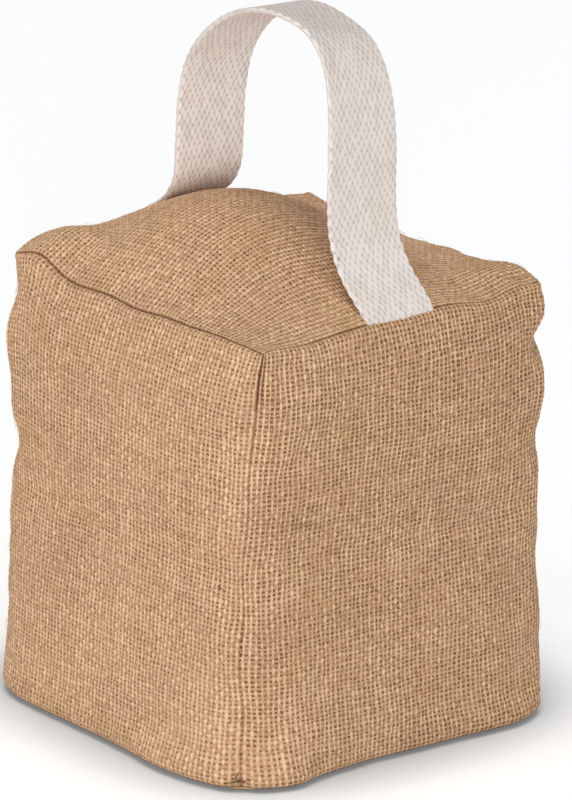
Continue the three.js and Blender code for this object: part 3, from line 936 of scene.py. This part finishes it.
def scatterNodes(onFaces):
    # copies of a piece on the points or over the faces of a mesh, each turned and sized by chance
    tree = bpy.data.node_groups.new("scatterOnFaces" if onFaces else "scatterOnPoints", "GeometryNodeTree")
    kinds = {"Geometry": "Geometry", "Piece": "Object", "Density": "Float", "Seed": "Int", "Smallest": "Float",
             "Largest": "Float", "Lean": "Float", "Spin": "Float", "Material": "Material"}
    for label, kind in kinds.items():
        tree.interface.new_socket(label, in_out="INPUT", socket_type="NodeSocket" + kind)
    tree.interface.new_socket("Geometry", in_out="OUTPUT", socket_type="NodeSocketGeometry")
    given, result = tree.nodes.new("NodeGroupInput").outputs, tree.nodes.new("NodeGroupOutput").inputs
    if onFaces:
        spread = addNode(tree, "GeometryNodeDistributePointsOnFaces",
                         {"Mesh": given["Geometry"], "Density": given["Density"], "Seed": given["Seed"]}).outputs
        places = {"Points": spread["Points"], "Rotation": spread["Rotation"]}
    else:
        places = {"Points": addNode(tree, "GeometryNodeMeshToPoints", {"Mesh": given["Geometry"]}).outputs[0]}
    piece = addNode(tree, "GeometryNodeObjectInfo", {"Object": given["Piece"]}).outputs["Geometry"]
    size = addNode(tree, "FunctionNodeRandomValue", {2: given["Smallest"], 3: given["Largest"],
                                                     8: given["Seed"]}, data_type="FLOAT").outputs[1]
    laid = addNode(tree, "GeometryNodeInstanceOnPoints", {**places, "Instance": piece, "Scale": size}).outputs[0]
    limits = []
    for sign in (-1.0, 1.0):
        lean, spin = (mathNode(tree, "MULTIPLY", given[label], sign) for label in ("Lean", "Spin"))
        limits.append(combined(tree, lean, lean, spin))
    turn = addNode(tree, "FunctionNodeRandomValue", {0: limits[0], 1: limits[1], 8: given["Seed"]},
                   data_type="FLOAT_VECTOR").outputs[0]
    turn = addNode(tree, "FunctionNodeEulerToRotation", {0: turn}).outputs[0]
    laid = addNode(tree, "GeometryNodeRotateInstances", {"Instances": laid, "Rotation": turn}).outputs[0]
    laid = addNode(tree, "GeometryNodeRealizeInstances", {"Geometry": laid}).outputs[0]
    laid = addNode(tree, "GeometryNodeSetMaterial", {"Geometry": laid, "Material": given["Material"]}).outputs[0]
    tree.links.new(laid, result["Geometry"])
    return tree


def scatter(name, host, piece, look, material, onFaces=False):
    values = {**look, "piece": piece, "material": material}
    modifier = host.modifiers.new("scatter", "NODES")
    tree = scatterNodes(onFaces)
    modifier.node_group = tree
    for item in tree.interface.items_tree:
        if item.in_out == "INPUT" and item.name.lower() in values:
            modifier[item.identifier] = values[item.name.lower()]
    mesh = bpy.data.meshes.new_from_object(host.evaluated_get(bpy.context.evaluated_depsgraph_get()))
    mesh.name = name
    mesh.polygons.foreach_set("use_smooth", np.ones(len(mesh.polygons), bool))
    obj = addObject(name, mesh)
    for used in (host, piece):
        bpy.data.objects.remove(used)
    print(name, "faces", len(mesh.polygons))
    return obj


def threadMaterial(name, tint):
    material, tree, shader = nodeTree(name)
    strands = strandsAlong(tree, placeNode(tree), thread["fibreStretch"], thread["fibreScale"])
    darker = tuple(thread["darker"] * c for c in tint[:3]) + (1,)
    setSurface(tree, shader, mixColour(tree, ramp(tree, strands, 0.35, 0.65), darker, tint), thread)
    return material


def makeStitches(material):
    random = np.random.default_rng(thread["seed"])
    seam = bagPoints[bagGrids["panelRight"][0]]
    heights = np.arange(thread["lowest"], thread["highest"], thread["pitch"])
    heights = heights + random.uniform(-thread["jitter"], thread["jitter"], len(heights))
    heights = heights[[any(low < z < top for low, top in seams["stitchRuns"]) for z in heights]]
    places = np.stack([np.interp(heights, seam[:, 2], seam[:, k]) for k in range(3)], -1)
    sunk = seams["front"][0] * thread["inGroove"] + thread["sunk"]
    places[:, :2] -= np.array([1, -1]) * sunk * math.sqrt(0.5)
    host = meshObject("stitchPlaces", places, np.zeros((0, 4)))
    half = thread["length"] / 2
    piece = meshObject("stitch", *tubeGrid([(0, 0, -half), (0.1, -0.1, 0), (0, 0, half)], thread["radius"], 6))
    return scatter("stitches", host, piece, thread, material)


def makeFluff(material):
    host = meshObject("fluffPlaces", bagPoints, bagQuads[bagPoints[bagQuads, 2].min(1) > fluff["lowest"]])
    half, rise, bend = fluff["length"] / 2, fluff["rise"], fluff["bend"]
    path = [(-half, 0, 0.2), (-half / 2, bend, rise), (0, 0, rise * 1.2), (half / 2, -bend, rise), (half, 0, 0.2)]
    piece = meshObject("fibre", *tubeGrid(path, fluff["radius"], 9))
    return scatter("looseFibres", host, piece, fluff, material, onFaces=True)


def onCloth(path):
    # the nearest places of the two front panels, raised from the cloth
    dense, away = [], []
    for name in ("panelRight", "panelLeft"):
        grid, cube = bagPoints[bagGrids[name]], cageOf(name)
        steps = [np.linspace(0, count - 1, 6 * count) for count in grid.shape[:2]]
        grid, cube = resample(grid, *steps), resample(cube, *steps)
        dense.append(settle(grid, cube, np.full(grid.shape[:2], 99.0)).reshape(-1, 3))
        away.append(gridNormals(grid).reshape(-1, 3))
    dense, away = np.concatenate(dense), np.concatenate(away)
    nearest = [int(np.argmin(((dense - place) ** 2).sum(1))) for place in path]
    return dense[nearest] + away[nearest] * thread["raised"]


def makeThreadEnds(brown, yellow):
    parts = [("seamKnot", [onCloth(thread["knot"]), onCloth(thread["hair"])], brown),
             ("looseEnds", [*map(onCloth, thread["ends"]), thread["strapEnd"]], yellow)]
    made = []
    for name, paths, material in parts:
        points, quads = zip(*(tubeGrid(path, thread["radius"] * thread["thinEnds"], 14) for path in paths))
        quads = [part + number * len(points[0]) for number, part in enumerate(quads)]
        made.append(meshObject(name, np.concatenate(points), np.concatenate(quads), material=material))
    return made


brownThread, yellowThread = (threadMaterial(tint + "Thread", thread[tint]) for tint in ("brown", "yellow"))
smallPieces = [makeStitches(brownThread), *makeThreadEnds(brownThread, yellowThread),
               makeFluff(threadMaterial("looseFibre", fluff["pale"]))]
for piece in smallPieces:
    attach(piece, "root")


# Floor, lamps and world
studio = {
    "floorSize": 8, "floorDrop": 0.2, "floorColour": (0.921, 0.93, 0.938, 1), "floorGlow": 0.29, "world": 0.38,
    "roughness": 1, "specular": 0,
    # reach in millimetres of the soft shadow that hugs the base, and its tones where the sky is more or less open
    "contactReach": 45, "contactColour": (0.92, 0.97, 1.0),
    "contactTones": ((0.3, 0.42), (0.45, 0.52), (0.6, 0.66), (0.75, 0.78), (0.88, 0.94), (1.0, 1.0)),
    # light from overhead: strength, width in degrees, and where it comes from
    "sun": (1.0, 32, (0.12, -0.12, 1)),
    # name, place in metres, size and watts of the lamps, which all point at the aim
    "aim": (0, 0, 0.1),
    "lamps": [("keyLamp", (-0.9, -2.9, 0.45), 1.8, 22.6), ("frontLamp", (1.7, -1.25, 0.38), 1.2, 20.2)],
}


def seenDirectly(tree):
    path = tree.nodes.new("ShaderNodeLightPath").outputs
    seen = mathNode(tree, "MAXIMUM", path["Is Camera Ray"], path["Is Glossy Ray"])
    return mathNode(tree, "MAXIMUM", seen, path["Is Transmission Ray"])


def makeFloor():
    size = studio["floorSize"] / 2 / mm
    floor = meshObject("floor", [(-size, -size, 0), (size, -size, 0), (size, size, 0), (-size, size, 0)],
                       [(0, 1, 2, 3)])
    floor.location.z = -studio["floorDrop"] * mm
    # a glow that only the camera, mirrors and glass see lifts the paper to white and leaves the shadow on it
    material, tree, shader = nodeTree("floorPaper")
    near = addNode(tree, "ShaderNodeAmbientOcclusion", {"Distance": studio["contactReach"] * mm}, samples=16)
    tones = toneRamp(tree, near.outputs["AO"],
                     [(place, tuple(tone ** (1 / cast) for cast in studio["contactColour"]) + (1,))
                      for place, tone in studio["contactTones"]])
    setSurface(tree, shader, mixColour(tree, 1.0, studio["floorColour"], tones, "MULTIPLY"), studio)
    glow = mathNode(tree, "MULTIPLY", seenDirectly(tree), studio["floorGlow"])
    setInputs(tree, shader, {"Emission Color": tones, "Emission Strength": glow})
    floor.data.materials.append(material)


def makeWorld():
    # white where it is seen directly, and dimmer as a light
    world = bpy.data.worlds.new("studioWorld")
    bpy.context.scene.world = world
    world.use_nodes = True
    tree = world.node_tree
    tree.nodes.clear()
    light, white = (addNode(tree, "ShaderNodeBackground", {"Color": (1, 1, 1, 1), "Strength": strength}).outputs[0]
                    for strength in (studio["world"], 1.0))
    mix = addNode(tree, "ShaderNodeMixShader", {0: seenDirectly(tree), 1: light, 2: white})
    addNode(tree, "ShaderNodeOutputWorld", {"Surface": mix.outputs[0]})


def addLight(name, kind, place, target, **settings):
    data = bpy.data.lights.new(name, kind)
    for key, value in settings.items():
        setattr(data, key, value)
    light = addObject(name, data)
    light.location = place
    light.rotation_euler = (Vector(target) - Vector(place)).to_track_quat("-Z", "Y").to_euler()


makeFloor()
makeWorld()
strength, width, direction = studio["sun"]
addLight("overheadLight", "SUN", direction, (0, 0, 0), energy=strength, angle=math.radians(width))
for name, place, size, watts in studio["lamps"]:
    addLight(name, "AREA", place, studio["aim"], shape="DISK", size=size, energy=watts)
bpy.context.scene.view_settings.view_transform = "Standard"

print("finished")
